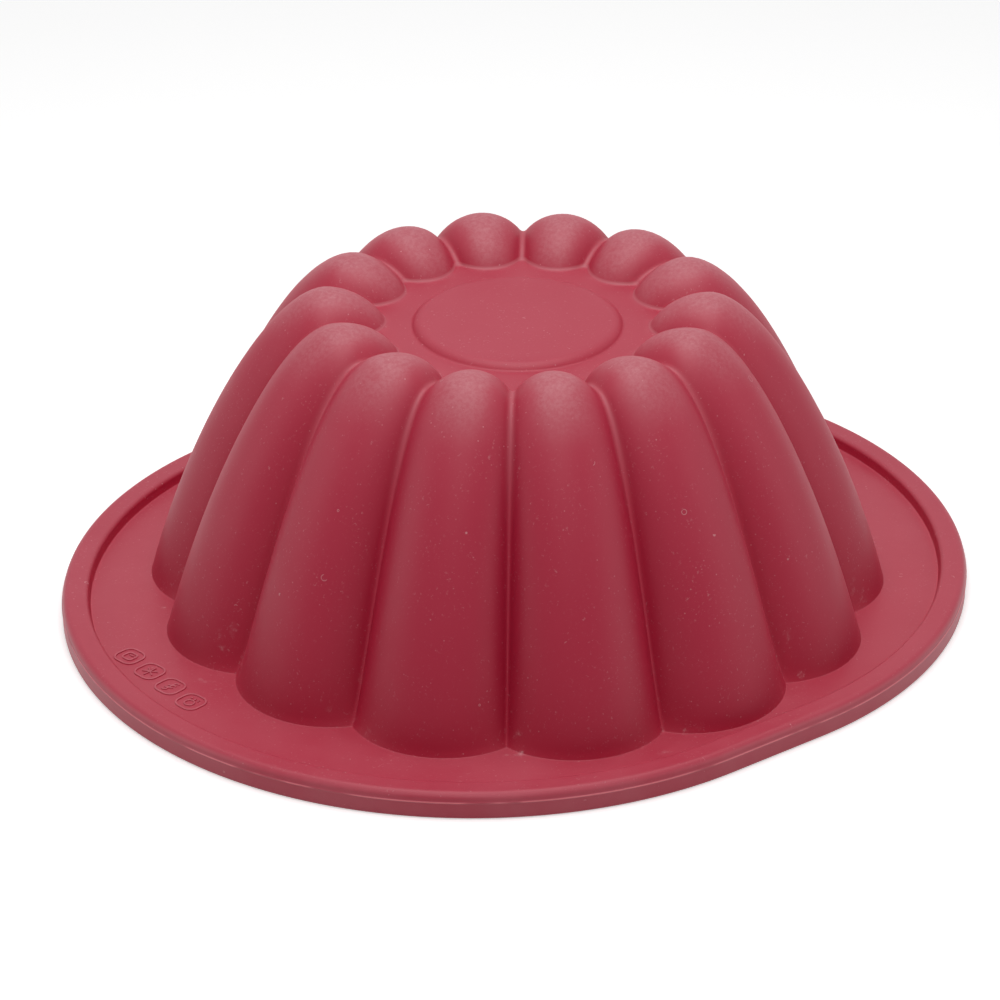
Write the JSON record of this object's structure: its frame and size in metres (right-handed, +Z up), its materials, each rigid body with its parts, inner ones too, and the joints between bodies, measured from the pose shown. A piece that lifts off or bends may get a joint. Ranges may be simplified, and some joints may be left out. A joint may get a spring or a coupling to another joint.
{
  "type": "charlotte mould",
  "caption": "Round fluted silicone baking mould with domed flute ends, a raised disc on its closed end and an oblong flat flange with a beaded edge, shown upside down on its rim.",
  "frame": {"origin": "on the resting plane, under the middle of the flange", "axes": "+X along the flange's long way, +Y across it, +Z up through the closed end; the mouth opens towards -Z"},
  "size_m": [0.2652, 0.2344, 0.0927],
  "materials": {
    "silicone": "matt moulded silicone with a faint bloom"
  },
  "bodies": {
    "root": {"mould_body": "silicone"}
  },
  "joints": []
}
